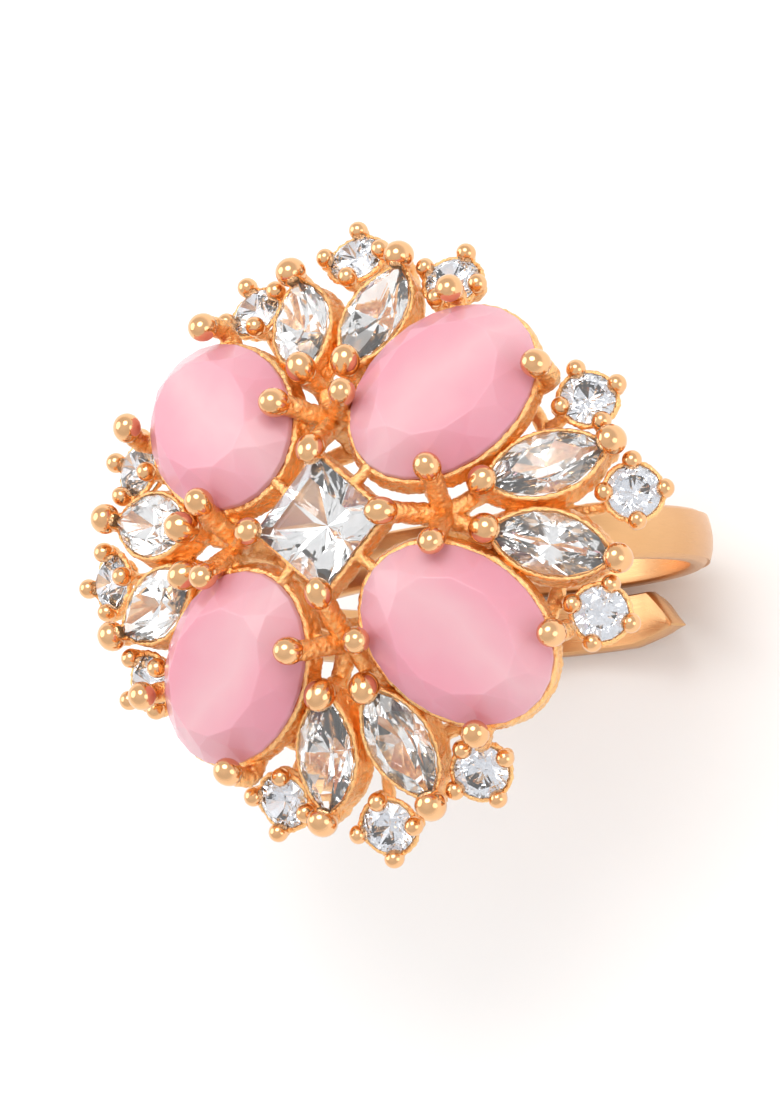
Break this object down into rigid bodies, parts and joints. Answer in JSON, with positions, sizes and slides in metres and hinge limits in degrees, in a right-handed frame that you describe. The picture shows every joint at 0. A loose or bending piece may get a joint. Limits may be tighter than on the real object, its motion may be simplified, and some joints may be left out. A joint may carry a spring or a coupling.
{
  "type": "cocktail ring",
  "caption": "Floral cluster cocktail ring: pink oval stones round a square clear stone, clear marquise and round stones between them, on an open bypass shank.",
  "frame": {"origin": "centre of the finger hole", "axes": "+Y along the finger, +Z from the finger hole up through the flower, +X across the finger"},
  "size_m": [0.0266, 0.0266, 0.0251],
  "materials": {
    "gilt_setting": "cast and polished rose-gold plating, bright on the beads and grainy in the crevices",
    "gilt_shank": "satin rose-gold plating, polished lengthwise",
    "pink_stone": "faceted translucent pink glass with a soft milky glow",
    "clear_stone": "clear faceted crystal"
  },
  "bodies": {
    "head": {"centre_stone": "clear_stone", "centre_setting": "gilt_setting", "oval_stone_back_right": "pink_stone", "oval_setting_back_right": "gilt_setting", "oval_stone_back_left": "pink_stone", "oval_setting_back_left": "gilt_setting", "oval_stone_front_left": "pink_stone", "oval_setting_front_left": "gilt_setting", "oval_stone_front_right": "pink_stone", "oval_setting_front_right": "gilt_setting", "marquise_stone_right_a": "clear_stone", "marquise_setting_right_a": "gilt_setting", "marquise_stone_right_b": "clear_stone", "marquise_setting_right_b": "gilt_setting", "marquise_stone_back_a": "clear_stone", "marquise_setting_back_a": "gilt_setting", "marquise_stone_back_b": "clear_stone", "marquise_setting_back_b": "gilt_setting", "marquise_stone_left_a": "clear_stone", "marquise_setting_left_a": "gilt_setting", "marquise_stone_left_b": "clear_stone", "marquise_setting_left_b": "gilt_setting", "marquise_stone_front_a": "clear_stone", "marquise_setting_front_a": "gilt_setting", "marquise_stone_front_b": "clear_stone", "marquise_setting_front_b": "gilt_setting", "round_stone_right_a": "clear_stone", "round_setting_right_a": "gilt_setting", "round_stone_right_b": "clear_stone", "round_setting_right_b": "gilt_setting", "round_stone_right_c": "clear_stone", "round_setting_right_c": "gilt_setting", "round_stone_back_a": "clear_stone", "round_setting_back_a": "gilt_setting", "round_stone_back_b": "clear_stone", "round_setting_back_b": "gilt_setting", "round_stone_back_c": "clear_stone", "round_setting_back_c": "gilt_setting", "round_stone_left_a": "clear_stone", "round_setting_left_a": "gilt_setting", "round_stone_left_b": "clear_stone", "round_setting_left_b": "gilt_setting", "round_stone_left_c": "clear_stone", "round_setting_left_c": "gilt_setting", "round_stone_front_a": "clear_stone", "round_setting_front_a": "gilt_setting", "round_stone_front_b": "clear_stone", "round_setting_front_b": "gilt_setting", "round_stone_front_c": "clear_stone", "round_setting_front_c": "gilt_setting", "gallery": "gilt_setting", "shank_bridge": "gilt_shank"},
    "upper_arm": {"upper_arm": "gilt_shank"},
    "lower_arm": {"lower_arm": "gilt_shank"}
  },
  "joints": [
    {"name": "upper_arm_flex", "type": "hinge", "parent": "head", "child": "upper_arm", "pos_m": [0.00458, 0, 0.00792], "axis": [0, -1, 0], "range_deg": [-3, 8]},
    {"name": "lower_arm_flex", "type": "hinge", "parent": "head", "child": "lower_arm", "pos_m": [-0.00458, 0, 0.00792], "axis": [0, 1, 0], "range_deg": [-3, 8]}
  ]
}
